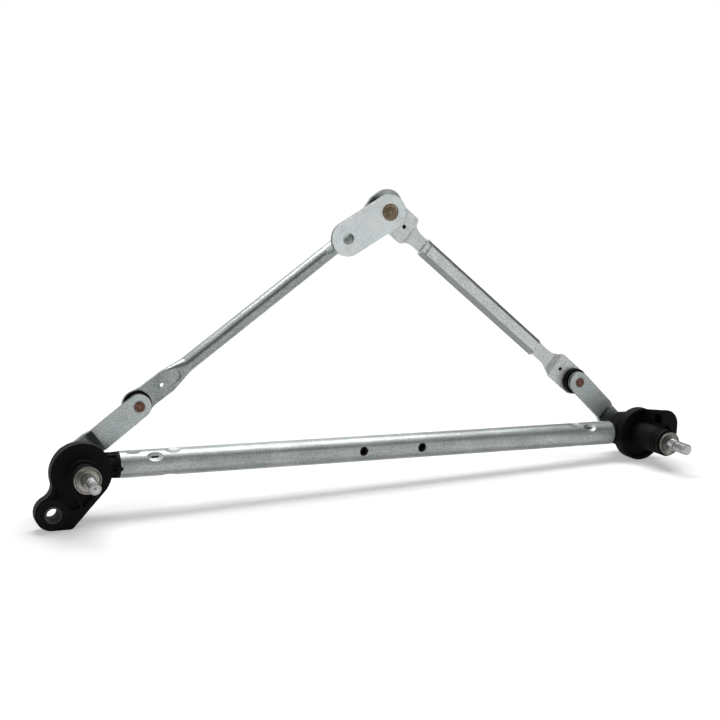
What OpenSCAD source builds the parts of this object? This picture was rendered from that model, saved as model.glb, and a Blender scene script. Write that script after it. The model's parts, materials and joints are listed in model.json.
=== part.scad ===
// Wiper linkage: a frame tube with two pivot housings, two cranks, two rods and the motor crank.
// Millimetres, +Z up. The tube runs along X and the wiper shafts point to -Y.
// The origin is the middle of the bolt sleeve in the mounting ear.

/* [Frame tube] */
// Distance between the two pivot axes
pivot_span = 437; // [360:1:560]
// Outside diameter of the frame tube
tube_d = 18; // [15:0.5:22]
// Wall of the frame tube
tube_wall = 1.5; // [1:0.1:2]
// From the left pivot axis to the left end of the tube
tube_gap_left = 27.5; // [26:0.5:40]
// From the right pivot axis to the right end of the tube
tube_gap_right = 22.2; // [22:0.1:36]
// Diameter of the two holes for the motor bracket
bracket_hole_d = 6.6; // [5:0.1:8]
// Distance between the two bracket holes
bracket_hole_pitch = 46; // [34:1:60]
// From the left pivot axis to the first bracket hole
bracket_hole_x = 200.8; // [150:0.2:245]
// Depth of a crimp pressed into the tube wall
crimp_depth = 1.1; // [0.5:0.1:1.2]

/* [Mounting ear] */
// From the ear bolt to the left pivot axis, along the tube
ear_out = 18.3; // [16:0.1:24]
// From the ear bolt up to the tube axis
ear_drop = 25; // [22:0.5:32]
// From the middle of the ear sleeve back to the tube axis
ear_set = 13.5; // [12:0.5:16]
// Radius of the ear outline
ear_r = 11; // [10.5:0.5:13]
// How far the flat foot of the ear reaches to the right
foot_out = 10.8; // [8:0.2:13]
// Corner radius of the foot
foot_r = 4; // [3.8:0.2:6]
// Bolt bore of the sleeve
ear_bolt_d = 8.4; // [6.4:0.1:9]
// Wall of the sleeve
sleeve_wall = 1.3; // [1:0.1:1.8]
// Length of the sleeve
sleeve_len = 13; // [12.6:0.2:18]
// Diameter of the grommet flanges
grommet_d = 20; // [18:0.5:22]
// Diameter of the grommet waist in the ear
grommet_waist_d = 15.5; // [14:0.5:17]

/* [Housings] */
// Radius of the left hub plate
hub_r = 19.6; // [17:0.2:23]
// Thickness of the left hub plate and its ear
hub_t = 8; // [6:0.5:10]
// From the tube axis to the front of the left hub plate
hub_front = 17.5; // [15:0.5:20]
// Concave radius between the left hub and its ear
hub_fillet_r = 9; // [6:0.5:14]
// Outside diameter of both bearing tubes
bearing_d = 20; // [18:0.5:22]
// From the tube axis back to the rear face of both bearings
bearing_rear = 15.8; // [13:0.1:18]
// From the tube axis to the front face of the left tower
left_tower = 33.1; // [28:0.1:40]
// From the tube axis to the front face of the right tower
right_tower = 45.2; // [40:0.1:55]
// Diameter of the slim front part of the left tower
tower_tip_d = 16.6; // [15.6:0.1:19]
// From the tube axis to the front of the wide collar on the left tower
collar_front = 24.3; // [20:0.1:28]
// Radius of the right flange
flange_r = 20.2; // [18:0.2:24]
// Thickness of the right flange
flange_t = 8; // [6:0.5:10]
// From the tube axis to the front of the right flange
flange_front = 13; // [10:0.5:15]
// From the tube axis to the front of the half-round shell on the right tower
shell_front = 36; // [32:0.5:40]
// How much the shell rises from the flange to its front
shell_flare = 3.6; // [0:0.2:5]
// Round radius of the shell
shell_r = 11.8; // [10:0.2:13]
// Wall of the shell
shell_wall = 2.4; // [1.8:0.2:3]
// Diameter of the necks between the housings and the tube
neck_d = 14.4; // [13:0.2:15.6]
// Length of each spigot inside the tube
spigot_len = 44; // [30:1:50]
// Free play of a spigot in the tube, on the radius
spigot_gap = 0.05; // [0.02:0.01:0.1]

/* [Pivot shafts] */
// Shaft diameter in the bearings
shaft_d = 10; // [9:0.1:11]
// Outside diameter of the thread that holds a wiper arm
thread_d = 8; // [6:0.5:8.4]
// Length of the shaft in front of the thrust washer
shaft_out = 20.5; // [17:0.5:26]
// Length of the knurled cone
cone_len = 6.5; // [5:0.5:8]
// Large diameter of the knurled cone
cone_d = 9.2; // [8.6:0.1:9.6]
// Wall of a bearing bush
bush_wall = 1.5; // [1:0.1:2]
// Length of a bearing bush
bush_len = 12; // [9:0.5:14]
// Flange thickness of a front bush
bush_flange_t = 1; // [0.8:0.1:1.5]
// Running clearance of the shaft in a bush, on the radius
bush_gap = 0.04; // [0.02:0.01:0.1]
// Outside diameter of the thrust washer
washer_d = 17.4; // [16:0.2:19]
// Thickness of the thrust washer
washer_t = 1.6; // [1.2:0.1:2]
// Thickness of the circlip
circlip_t = 1.1; // [0.9:0.1:1.4]
// Outside diameter of the circlip
circlip_d = 12.8; // [12:0.2:14]
// Thickness of the spacer washer behind a bearing
spacer_t = 1.4; // [1:0.1:1.6]
// Gap between faces that turn on each other
face_gap = 0.15; // [0.1:0.05:0.3]

/* [Cranks] */
// Crank length, from pivot axis to ball stud
crank_r = 57; // [45:0.5:68]
// Width of a crank plate
crank_w = 16.4; // [14:0.2:19]
// Thickness of a crank plate
crank_t = 3.5; // [2.5:0.1:4]
// Radius of a crank plate round its shaft
crank_hub_r = 10.5; // [9.5:0.5:12]
// Step of a crank plate towards the front, between shaft and stud
crank_set = 4; // [2:0.5:6]
// From the pivot axis to the start of the step
crank_bend_at = 17; // [14:0.5:22]
// Length of the step along the crank
crank_bend_len = 6; // [4:0.5:9]
// Rise of the left crank above the tube, in degrees
left_crank_angle = 38; // [20:0.5:60]
// Rise of the right crank above the tube, in degrees
right_crank_angle = 41.8; // [20:0.2:60]

/* [Ball joints] */
// Diameter of the balls
ball_d = 10; // [9:0.5:12]
// Running clearance of a ball in its socket, on the radius
ball_gap = 0.05; // [0.02:0.01:0.1]
// Neck diameter of a ball stud
stud_neck_d = 6.4; // [5.5:0.1:7]
// Rivet diameter of the crank studs
rivet_d = 7.2; // [6:0.2:9]
// Height of a rivet end above its plate
rivet_h = 0.5; // [0.3:0.1:1]
// Outside diameter of a socket cup
socket_d = 13.8; // [13:0.2:16]
// Diameter of the socket flange that faces the crank
socket_flange_d = 19.8; // [18:0.2:22]
// Wall behind the ball
socket_end = 1.6; // [1.2:0.1:2.5]

/* [Left rod] */
// Outside diameter of the rod tube
left_rod_d = 11; // [9:0.5:13]
// Thickness of the flattened ends
left_flat_t = 3; // [2.4:0.1:3.4]
// Width of the flattened ends beside the sockets
left_flat_w = 16; // [13:0.5:18]
// Radius of the lower end round its socket
left_end_r = 9.6; // [9:0.2:11]
// How far the lower end reaches past the socket
left_end_reach = 0.4; // [0.2:0.2:2]
// Radius of the upper end round its socket
left_top_r = 12.2; // [10:0.2:13]
// How far the upper end reaches past the socket
left_top_reach = 6.6; // [0.2:0.2:7.6]

/* [Right rod] */
// Sheet thickness of the right rod
right_sheet = 2; // [1.5:0.1:2.5]
// Width of the channel across its front web
channel_web_w = 6.8; // [5:0.2:9]
// Width of the channel across its rear edges
channel_base_w = 14; // [12:0.2:17]
// Depth of the channel
channel_depth = 6.2; // [5:0.2:8]
// Radius of the lower flat end
right_end_r = 10.7; // [10:0.1:12]
// Radius of the upper flat end
right_top_r = 11.4; // [10.8:0.1:13]
// Step of the rod behind its flat ends
right_set = 4.5; // [3:0.5:6]
// Diameter of the small tooling holes
tooling_hole_d = 3; // [2:0.2:4]

/* [Motor crank] */
// Stud position along the tube, from the left pivot axis
stud_x = 226.1; // [205:0.1:245]
// Stud position above the tube axis
stud_z = 167; // [120:1:190]
// Length of the motor crank between its hole and its stud
motor_crank_r = 37; // [30:0.5:50]
// Direction of the motor crank from the stud to the hole, in degrees
motor_crank_angle = 211.3; // [180:0.1:260]
// Width of the motor crank
motor_crank_w = 25; // [22:0.5:30]
// Thickness of the motor crank
motor_crank_t = 3.5; // [3:0.1:4]
// Hole for the motor spindle
motor_hole_d = 8.4; // [7:0.1:10]
// Rivet diameter of the motor stud
motor_rivet_d = 12; // [10:0.5:13]
// Diameter of the motor stud inside the right rod
motor_neck_d = 5; // [4.6:0.2:7]
// Room for the motor stud to wander in the right rod, on the radius
open_pivot_play = 4.3; // [3:0.1:5]
// Direction of that room from the stud, in degrees
open_pivot_angle = 27; // [0:1:90]

/* [Hidden] */
$fn = 64;
hull_fn = 32;
over = 1;

// Places, in the frame of the left pivot: X along the tube, Y to the rear, Z up from the tube axis
function polar(r, a) = [r * cos(a), r * sin(a)];
function span(p, q) = norm(q - p);
function heading(p, q) = atan2(q[1] - p[1], q[0] - p[0]);
left_pivot = [0, 0];
right_pivot = [pivot_span, 0];
ear = [-ear_out, -ear_drop];
left_ball = left_pivot + polar(crank_r, left_crank_angle);
right_ball = right_pivot + polar(crank_r, 180 - right_crank_angle);
motor_stud = [stud_x, stud_z];
left_rod_len = span(left_ball, motor_stud);
left_rod_angle = heading(left_ball, motor_stud);
right_rod_len = span(right_ball, motor_stud);
right_rod_angle = heading(right_ball, motor_stud);

// The motor stud rests near the side of its hole in the right rod and wanders to the other side
open_pivot_gap = 0.84;
open_pivot = motor_stud + polar(open_pivot_play - open_pivot_gap, open_pivot_angle);

// Layers from front to rear
crank_hub_y = bearing_rear + spacer_t + 2 * face_gap;
crank_y = crank_hub_y - crank_set;
ball_lift = 7.5;
stud_collar_t = 1.2;
socket_y = crank_y + crank_t + stud_collar_t + 2 * face_gap;
crank_ball_y = crank_y + crank_t + ball_lift;
left_flange_t = 2.6;
right_flange_t = 4.2;
left_flat_y = socket_y + left_flange_t;
right_flat_y = socket_y + right_flange_t;
motor_crank_y = 17;
layer_gap = 0.5;
right_top_y = motor_crank_y + motor_crank_t + layer_gap;
open_socket_len = 11;
top_flange_t = 1;
left_top_y = right_top_y + open_socket_len + layer_gap + top_flange_t;
motor_ball_set = 5;
motor_ball_y = left_top_y + motor_ball_set;
right_neck_y = right_top_y + right_set;
crown_y = right_top_y + layer_gap;

// Shaft details
bush_d = shaft_d + 2 * bush_wall;
bearing_room = 0.5;
bearing_bore_d = shaft_d + 2 * bearing_room;
groove_depth = 0.8;
groove_d = shaft_d - 2 * groove_depth;
groove_land = 1;
cone_step = 0.2;
shaft_tip_chamfer = 1;
shaft_rivet_d = 8;
shaft_rivet_h = 1.6;
rivet_spread = 1.6;
rivet_chamfer = 0.6;
bush_flange_rim = 0.3;
bush_flange_d = tower_tip_d - 2 * bush_flange_rim;
spacer_d = 16;
circlip_mouth = 4;
tube_bore_d = tube_d - 2 * tube_wall;
spigot_d = tube_bore_d - 2 * spigot_gap;

// Colours
steel = [0.70, 0.73, 0.73];
bright_steel = [0.78, 0.79, 0.78];
black_moulding = [0.07, 0.07, 0.075];
black_rubber = [0.045, 0.045, 0.045];
bronze = [0.55, 0.42, 0.24];
copper = [0.58, 0.38, 0.27];

// Moves a shape from the left pivot frame to the frame of the ear sleeve
module in_place(at = [0, 0]) {
  translate([ear_out + at[0], ear_set, ear_drop + at[1]]) children();
}

// Cylinder along Y between two Y values
module post(d, y0, y1) {
  translate([0, y0, 0]) rotate([-90, 0, 0]) cylinder(d = d, h = y1 - y0);
}

// Flat outline (X, Z) made solid between two Y values
module plate(y0, y1) {
  translate([0, y1, 0]) rotate([90, 0, 0]) linear_extrude(y1 - y0) children();
}

// Side outline (X, Y) made solid across Z, centred
module slab(width) {
  translate([0, 0, -width / 2]) linear_extrude(width) children();
}

// Ring between two Y values
module ring(outer_d, inner_d, y0, y1) {
  difference() {
    post(outer_d, y0, y1);
    post(inner_d, y0 - over, y1 + over);
  }
}

// Cylinder along X between two X values
module bar(d, x0, x1) {
  translate([x0, 0, 0]) rotate([0, 90, 0]) cylinder(d = d, h = x1 - x0);
}

// Flat outline of a link with round ends
module link_outline(length, width) {
  circle(d = width);
  translate([length, 0]) circle(d = width);
  translate([0, -width / 2]) square([length, width]);
}

// Frame tube

tube_x0 = tube_gap_left;
tube_x1 = pivot_span - tube_gap_right;
crimp_r = 14;
key_d = 3;
key_angle = -6;
left_crimps = [[23, 40], [9, 78], [36, 72], [34, -74], [13, -95]];
right_crimps = [[22, 46], [34, 76], [10, 84], [28, -66], [14, -95]];
slot_len = 5;
slot_w = 1.5;

// Puts a child on the tube wall; the angle is measured up from the front
module on_tube(x, angle) {
  translate([x, 0, 0]) rotate([-angle, 0, 0]) translate([0, -tube_d / 2, 0]) children();
}

// Round dent pressed into the wall
module crimp(x, angle) {
  on_tube(x, angle) translate([0, crimp_depth - crimp_r, 0]) sphere(r = crimp_r);
}

// Lanced slot in the middle of the main crimp
module lance(x, angle) {
  on_tube(x, angle) cube([slot_len, 2 * tube_wall + crimp_depth, slot_w], center = true);
}

module frame_tube() {
  color(steel) in_place() difference() {
    bar(tube_d, tube_x0, tube_x1);
    bar(tube_bore_d, tube_x0 - over, tube_x1 + over);
    for (x = [bracket_hole_x, bracket_hole_x + bracket_hole_pitch])
      translate([x, 0, 0]) post(bracket_hole_d, -tube_d, tube_d);
    for (c = left_crimps) crimp(tube_x0 + c[0], c[1]);
    for (c = right_crimps) crimp(tube_x1 - c[0], c[1]);
    lance(tube_x0 + left_crimps[0][0], left_crimps[0][1]);
    lance(tube_x1 - right_crimps[0][0], right_crimps[0][1]);
    on_tube(tube_x0, key_angle) post(key_d, -tube_d / 2, tube_d / 2);
  }
}

// Housings

// How deep two outlines bite into each other where they would only touch
outline_bite = 0.05;
hub_rear = hub_front - hub_t;
hub_pocket_depth = 2.5;
hub_rim = 2.2;
side_rim = 3.6;
foot = ear + [foot_out, foot_r - ear_r];
ear_pocket_set = 1.6;
ear_pocket_w = 5.8;
ear_pocket_r0 = grommet_d / 2 + ear_pocket_set;
ear_pocket_r1 = ear_pocket_r0 + ear_pocket_w;
ear_pocket_a0 = 8;
ear_pocket_a1 = 84;
neck_ribs = 8;
neck_rib_w = 1.8;
neck_rib_h = 1.3;
neck_collar_t = 2.4;
neck_collar_set = 0.3;
neck_collar_d = tube_d - 2 * neck_collar_set;
key_gap = 0.1;
collar_d = 19.8;
hub_ribs = [40, 90, 140, 190, 320];
flange_ribs = [20, 90, 160, 270];
hub_rib_w = 2.2;
hub_rib_len = 13;

// Tangent of the two circles on the side that the angle sign picks
function tangent_angle(p, q, rp, rq, side) = heading(p, q) + side * acos((rp - rq) / span(p, q));

// Direction that the straight side of the hub faces
side_angle = tangent_angle(left_pivot, foot, hub_r, foot_r, 1);

// Centre of a circle that touches two circles from outside
function touch_centre(p, q, rp, rq, r, side) =
  let (a = rp + r, b = rq + r, d = span(p, q), h = heading(p, q))
  p + polar(a, h + side * acos((a * a + d * d - b * b) / (2 * a * d)));

// Outline of the hub and ear: flat foot and straight side on the lower right, hollow on the left
module hub_outline(inset = 0) {
  f = touch_centre(left_pivot, ear, hub_r - outline_bite, ear_r - outline_bite, hub_fillet_r, -1);
  bite = inset + outline_bite;
  circle(r = hub_r - inset);
  translate(ear) circle(r = ear_r - inset);
  translate(foot) circle(r = foot_r - inset);
  polygon([
    left_pivot, left_pivot + polar(hub_r - bite, side_angle), foot + polar(foot_r - bite, side_angle),
    foot + polar(foot_r - bite, -90), ear + polar(ear_r - bite, -90), ear
  ]);
  difference() {
    polygon([left_pivot, ear, f]);
    translate(f) circle(r = hub_fillet_r + inset);
  }
}

// Curved pocket beside the grommet
module ear_pocket() {
  difference() {
    intersection() {
      translate(ear) circle(r = ear_pocket_r1);
      polygon([
        ear, ear + polar(2 * hub_r, ear_pocket_a0),
        ear + polar(3 * hub_r, (ear_pocket_a0 + ear_pocket_a1) / 2),
        ear + polar(2 * hub_r, ear_pocket_a1)
      ]);
    }
    translate(ear) circle(r = ear_pocket_r0);
    circle(d = collar_d + hub_rim);
  }
}

// Three-sided pocket along the straight side
module side_pocket() {
  difference() {
    intersection() {
      hub_outline(side_rim);
      polygon([left_pivot, left_pivot + polar(2 * hub_r, side_angle), foot]);
    }
    translate(ear) circle(r = ear_pocket_r1 + hub_rim);
    circle(d = collar_d + 2 * hub_rim);
  }
}

// Neck with ribs, collar against the tube end and spigot inside the tube, along +X
module neck(x0, x1) {
  bar(neck_d, x0, x1);
  for (i = [0 : neck_ribs - 1])
    rotate([(i + 0.5) * 360 / neck_ribs, 0, 0])
      translate([x0, neck_d / 2 - neck_rib_h, -neck_rib_w / 2])
        cube([x1 - x0 - neck_collar_t / 2, 2 * neck_rib_h, neck_rib_w]);
  bar(neck_collar_d, x1 - neck_collar_t, x1);
  bar(spigot_d, x1 - over, x1 + spigot_len);
}

// Stepped bore of a bearing: front bush, rear bush and seal seat
module bearing_bore(front) {
  post(bearing_bore_d, -front - over, bearing_rear + over);
  post(bush_d, -front - over, bush_len - front + bush_wall);
  post(bush_d, bearing_rear - bush_len, bearing_rear + over);
}

// Triangular rib behind a plate, in the plane of the pivot axis, pointing to +X
module hub_rib() {
  slab(hub_rib_w) polygon([
    [0, -over], [hub_r - hub_rim, -over], [bearing_d / 2, hub_rib_len], [0, hub_rib_len]
  ]);
}

module left_housing() {
  color(black_moulding) in_place() difference() {
    union() {
      plate(-hub_front, -hub_rear) hub_outline();
      post(bearing_d, -hub_front, bearing_rear);
      post(collar_d, -collar_front, -hub_front + over);
      post(tower_tip_d, -left_tower, -collar_front + over);
      neck(0, tube_x0);
      for (a = hub_ribs) rotate([0, -a, 0]) translate([0, -hub_rear, 0]) hub_rib();
      on_tube(tube_x0, key_angle) post(key_d - 2 * key_gap, 2 * key_gap, tube_wall + over);
    }
    plate(-hub_front - over, hub_pocket_depth - hub_front) {
      ear_pocket();
      side_pocket();
    }
    translate([ear[0], 0, ear[1]]) post(grommet_waist_d, -hub_front - over, over - hub_rear);
    bearing_bore(left_tower);
  }
}

shell_gap = 2.4;
shell_x = 1.6;
shell_mid = [3.6, 11.4];
shell_low = 4.8;
window_at = [2, -29.5, 15.3];
window_size = [5, 8, 7];
tower_grooves = 3;
tower_groove_w = 1.2;
tower_groove_depth = 0.7;
tower_groove_pitch = 2.8;
flange_pocket_depth = 4;
shell_tilt = atan2(shell_flare, shell_front - flange_front);

// Outline of the shell: flat on the left, round above and on the right
module shell_outline(inset = 0) {
  x0 = shell_x + inset;
  z0 = shell_low + inset;
  intersection() {
    union() {
      translate(shell_mid) circle(r = shell_r - inset);
      translate([x0, z0]) square([shell_mid[0] + shell_r - inset - x0, shell_mid[1] - z0]);
    }
    translate([x0, z0]) square(2 * shell_r);
  }
}

// Shell that rises to the front beside the right tower, with its front plate
module tower_shell() {
  depth = shell_front - flange_front + flange_pocket_depth + over;
  intersection() {
    translate([0, -shell_front, 0]) rotate([-shell_tilt, 0, 0])
      plate(-shell_r, 2 * shell_front) difference() {
        shell_outline();
        shell_outline(shell_wall);
      }
    translate([0, -shell_front, 0]) cube([flange_r, depth, 2 * flange_r]);
  }
  plate(-shell_front, shell_wall - shell_front) difference() {
    shell_outline();
    circle(r = bearing_d / 2 + shell_gap);
  }
}

// Gussets that tie the neck to the bearing, as (X, Z) outlines of the right housing
gusset_top = 15;
gusset_low = 11.6;
gusset_w = 9;
gusset_web = 2.4;
gusset_rim = 1.8;
gusset_x0 = -11.3;

module gusset_outline(inset = 0) {
  x0 = inset + neck_collar_t - tube_gap_right;
  polygon([
    [x0, 0], [x0, neck_d / 2 - inset / 2], [gusset_x0, gusset_top - inset],
    [gusset_x0 / 3 - inset, gusset_top - inset], [-inset, 0]
  ]);
}

// Upper gusset with a pocket on both sides, and a plain lower gusset
module neck_gussets() {
  difference() {
    plate(-gusset_w / 2, gusset_w / 2) gusset_outline();
    plate(-gusset_w, -gusset_web / 2) gusset_outline(gusset_rim);
    plate(gusset_web / 2, gusset_w) gusset_outline(gusset_rim);
  }
  plate(-gusset_web, gusset_web) polygon([
    [neck_collar_t - tube_gap_right, 0], [neck_collar_t - tube_gap_right, -neck_d / 2],
    [gusset_x0, -gusset_low], [0, -gusset_low], [0, 0]
  ]);
}

module right_housing() {
  color(black_moulding) in_place(right_pivot) difference() {
    union() {
      difference() {
        post(2 * flange_r, -flange_front, flange_t - flange_front);
        ring(2 * flange_r - 2 * hub_rim, bearing_d, -flange_front - over, flange_pocket_depth - flange_front);
      }
      post(bearing_d, -right_tower, bearing_rear);
      mirror([1, 0, 0]) neck(0, tube_gap_right);
      neck_gussets();
      tower_shell();
      for (a = flange_ribs) rotate([0, -a, 0]) translate([0, flange_t - flange_front, 0]) hub_rib();
    }
    translate(window_at) cube(window_size, center = true);
    for (i = [0 : tower_grooves - 1])
      translate([0, tower_groove_pitch * (i + 1) - right_tower, 0])
        ring(bearing_d + over, bearing_d - 2 * tower_groove_depth, 0, tower_groove_w);
    bearing_bore(right_tower);
  }
}

// Ear fittings

sleeve_d = ear_bolt_d + 2 * sleeve_wall;
sleeve_proud = 0.4;
grommet_flange_t = (sleeve_len - hub_t) / 2 - sleeve_proud;

module ear_grommet() {
  color(black_rubber) in_place(ear) difference() {
    union() {
      post(grommet_d, -hub_front - grommet_flange_t, -hub_front);
      post(grommet_waist_d, -hub_front, -hub_rear);
      post(grommet_d, -hub_rear, grommet_flange_t - hub_rear);
    }
    post(sleeve_d, -hub_front - sleeve_len, sleeve_len);
  }
}

module ear_sleeve() {
  color(bright_steel) in_place(ear)
    ring(sleeve_d, ear_bolt_d, -ear_set - sleeve_len / 2, sleeve_len / 2 - ear_set);
}

// Bearings and seals

bush_bore_d = shaft_d + 2 * bush_gap;

module front_bush(pivot, front) {
  color(bronze) in_place(pivot) difference() {
    union() {
      post(bush_d, -front - bush_flange_t, bush_len - front);
      post(bush_flange_d, -front - bush_flange_t, -front);
    }
    post(bush_bore_d, -front - bush_flange_t - over, bush_len);
  }
}

module rear_bush(pivot) {
  color(bronze) in_place(pivot) ring(bush_d, bush_bore_d, bearing_rear - bush_len, bearing_rear);
}

module seal_ring(pivot, front) {
  section_d = bush_d / 2 - bush_bore_d / 2;
  color(black_rubber) in_place(pivot) translate([0, bush_len - front + section_d / 2, 0]) rotate([-90, 0, 0])
    rotate_extrude() translate([bush_bore_d / 2 + section_d / 2, 0]) circle(d = section_d, $fn = hull_fn);
}

module left_front_bush() { front_bush(left_pivot, left_tower); }
module right_front_bush() { front_bush(right_pivot, right_tower); }
module left_rear_bush() { rear_bush(left_pivot); }
module right_rear_bush() { rear_bush(right_pivot); }
module left_seal_ring() { seal_ring(left_pivot, left_tower); }
module right_seal_ring() { seal_ring(right_pivot, right_tower); }

// Shafts and what they carry. Here front is the distance from the tube axis to the tower face.

function washer_front(front) = front + bush_flange_t + face_gap + washer_t;
function circlip_front(front) = washer_front(front) + circlip_t;

// Shaft as one turned profile: riveted tail, journal, circlip groove, knurled cone and thread
module shaft(pivot, front) {
  tail = crank_hub_y + crank_t;
  groove = circlip_front(front);
  cone = groove + groove_land;
  head_r = shaft_rivet_d / 2 + rivet_spread;
  tip = washer_front(front) + shaft_out;
  color(bright_steel) in_place(pivot) rotate([90, 0, 0]) rotate_extrude() polygon([
    [0, -tail - shaft_rivet_h], [head_r - rivet_chamfer, -tail - shaft_rivet_h],
    [head_r, -tail - shaft_rivet_h / 2], [head_r, -tail],
    [shaft_rivet_d / 2, -tail], [shaft_rivet_d / 2, -crank_hub_y],
    [shaft_d / 2, -crank_hub_y], [shaft_d / 2, groove - circlip_t],
    [groove_d / 2, groove - circlip_t], [groove_d / 2, groove],
    [cone_d / 2, groove], [cone_d / 2, cone],
    [thread_d / 2 + cone_step, cone + cone_len], [thread_d / 2, cone + cone_len],
    [thread_d / 2, tip - shaft_tip_chamfer], [thread_d / 2 - shaft_tip_chamfer, tip], [0, tip]
  ]);
}

module thrust_washer(pivot, front) {
  y = washer_front(front);
  color(bright_steel) in_place(pivot) ring(washer_d, shaft_d, -y, washer_t - y);
}

// Split ring seated in the shaft groove, open at the bottom
module circlip(pivot, front) {
  y = circlip_front(front);
  color(steel) in_place(pivot) plate(-y, circlip_t - y) difference() {
    circle(d = circlip_d);
    circle(d = groove_d);
    translate([-circlip_mouth / 2, -circlip_d]) square([circlip_mouth, circlip_d]);
  }
}

module spacer_washer(pivot) {
  color(black_moulding) in_place(pivot)
    ring(spacer_d, shaft_d, crank_hub_y - spacer_t, crank_hub_y);
}

module left_shaft() { shaft(left_pivot, left_tower); }
module right_shaft() { shaft(right_pivot, right_tower); }
module left_thrust_washer() { thrust_washer(left_pivot, left_tower); }
module right_thrust_washer() { thrust_washer(right_pivot, right_tower); }
module left_circlip() { circlip(left_pivot, left_tower); }
module right_circlip() { circlip(right_pivot, right_tower); }
module left_spacer_washer() { spacer_washer(left_pivot); }
module right_spacer_washer() { spacer_washer(right_pivot); }

// Cranks

// Stepped strip as seen from its edge: (along, depth) with its front at y0, then at y1
module stepped_strip(x0, x1, bend0, bend1, y0, y1, t) {
  polygon([
    [x0, y0], [bend0, y0], [bend1, y1], [x1, y1], [x1, y1 + t],
    [bend1, y1 + t], [bend0, y0 + t], [x0, y0 + t]
  ]);
}

// Crank plate along +X from its shaft
module crank_plate(pivot, angle) {
  reach = crank_r + crank_w / 2 + over;
  color(steel) in_place(pivot) rotate([0, -angle, 0]) difference() {
    intersection() {
      slab(2 * crank_hub_r + over)
        stepped_strip(
          -reach, reach, crank_bend_at, crank_bend_at + crank_bend_len, crank_hub_y, crank_y, crank_t
        );
      plate(crank_y - over, crank_hub_y + crank_t + over) {
        link_outline(crank_r, crank_w);
        circle(r = crank_hub_r);
      }
    }
    post(shaft_rivet_d, crank_hub_y - over, crank_hub_y + crank_t + over);
    translate([crank_r, 0, 0]) post(rivet_d, crank_y - over, crank_y + crank_t + over);
  }
}

// Ball stud riveted in a crank plate, ball to the rear
module ball_stud(at) {
  plate_rear = crank_y + crank_t;
  color(copper) in_place(at) {
    post(rivet_d, crank_y - rivet_h, plate_rear);
    post(socket_d, plate_rear, plate_rear + stud_collar_t);
    post(stud_neck_d, plate_rear, crank_ball_y);
    translate([0, crank_ball_y, 0]) rotate([90, 0, 0]) sphere(d = ball_d);
  }
}

module left_crank_plate() { crank_plate(left_pivot, left_crank_angle); }
module right_crank_plate() { crank_plate(right_pivot, 180 - right_crank_angle); }
module left_ball_stud() { ball_stud(left_ball); }
module right_ball_stud() { ball_stud(right_ball); }

// Sockets

mouth_lip = 0.8;
mouth_d = ball_d - 2 * mouth_lip;

// Cup round a ball, with a flange in front of the rod
module socket(at, flange_y, flange_t, ball_y) {
  color(black_moulding) in_place(at) difference() {
    union() {
      post(socket_flange_d, flange_y, flange_y + flange_t);
      post(socket_d, flange_y, ball_y + ball_d / 2 + socket_end);
    }
    translate([0, ball_y, 0]) rotate([90, 0, 0]) sphere(d = ball_d + 2 * ball_gap);
    post(mouth_d, flange_y - over, ball_y);
  }
}

open_bore_d = motor_neck_d + 2 * open_pivot_play;
open_sheet_room = 0.3;
open_sheet_d = open_bore_d + 2 * open_sheet_room;
open_socket_wall = 1.5;
open_socket_d = open_bore_d + 2 * open_socket_wall;

// Ring behind the right rod round the motor stud, with room for the stud to wander
module open_socket() {
  color(black_moulding) in_place(open_pivot)
    ring(open_socket_d, open_bore_d, right_top_y + right_sheet, right_top_y + open_socket_len);
}

module left_rod_lower_socket() { socket(left_ball, socket_y, left_flange_t, crank_ball_y); }
module right_rod_lower_socket() { socket(right_ball, socket_y, right_flange_t, crank_ball_y); }
module left_rod_upper_socket() { socket(motor_stud, left_top_y - top_flange_t, top_flange_t, motor_ball_y); }
module right_rod_upper_socket() { open_socket(); }

// Left rod: a tube with flattened ends, drawn along +X from its lower socket

left_flat_len = 26;
left_blend_len = 18;
top_flat_len = 14;
top_blend_len = 17;
tongue_at = 24.4;
tongue_len = 7.6;
tongue_w = 8.6;
tongue_tilt = 5;
blend_bite = 0.2;
left_mid_y = left_flat_y + left_flat_t / 2;
left_rise = left_top_y - left_flat_y;
left_hole_at = 21.5;

// Depth of the tube axis at a distance from the lower socket
function left_axis_y(x) = left_mid_y + left_rise * x / left_rod_len;

// Flattened end: an outline from an end circle to the start of the round tube
module flat_end(r, reach, y, flat_len) {
  plate(y, y + left_flat_t) {
    translate([-reach, 0]) circle(r = r);
    polygon([
      [-reach, -r], [-reach, r], [0, r], [r, left_flat_w / 2], [flat_len, left_flat_w / 2],
      [flat_len, -left_flat_w / 2], [r, -left_flat_w / 2], [0, -r]
    ]);
  }
}

// Tongue pressed into the front of the lower blend, with a round end, deepest at the tube
module tongue() {
  translate([tongue_at, left_flat_y, 0]) rotate([0, 0, tongue_tilt]) plate(-left_rod_d, 0) {
    translate([0, -tongue_w / 2]) square([tongue_len, tongue_w]);
    translate([tongue_len, 0]) circle(d = tongue_w);
  }
}

// Blend from a flattened end to the round tube, sunk a little into both
module flat_blend(x0, y0, x1, y1) {
  hull() {
    translate([x0, y0, 0])
      cube([over, left_flat_t - outline_bite, left_flat_w - outline_bite], center = true);
    translate([x1, y1, 0]) rotate([0, 90, 0])
      cylinder(d = left_rod_d - 2 * blend_bite, h = over, center = true, $fn = hull_fn);
  }
}

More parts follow.
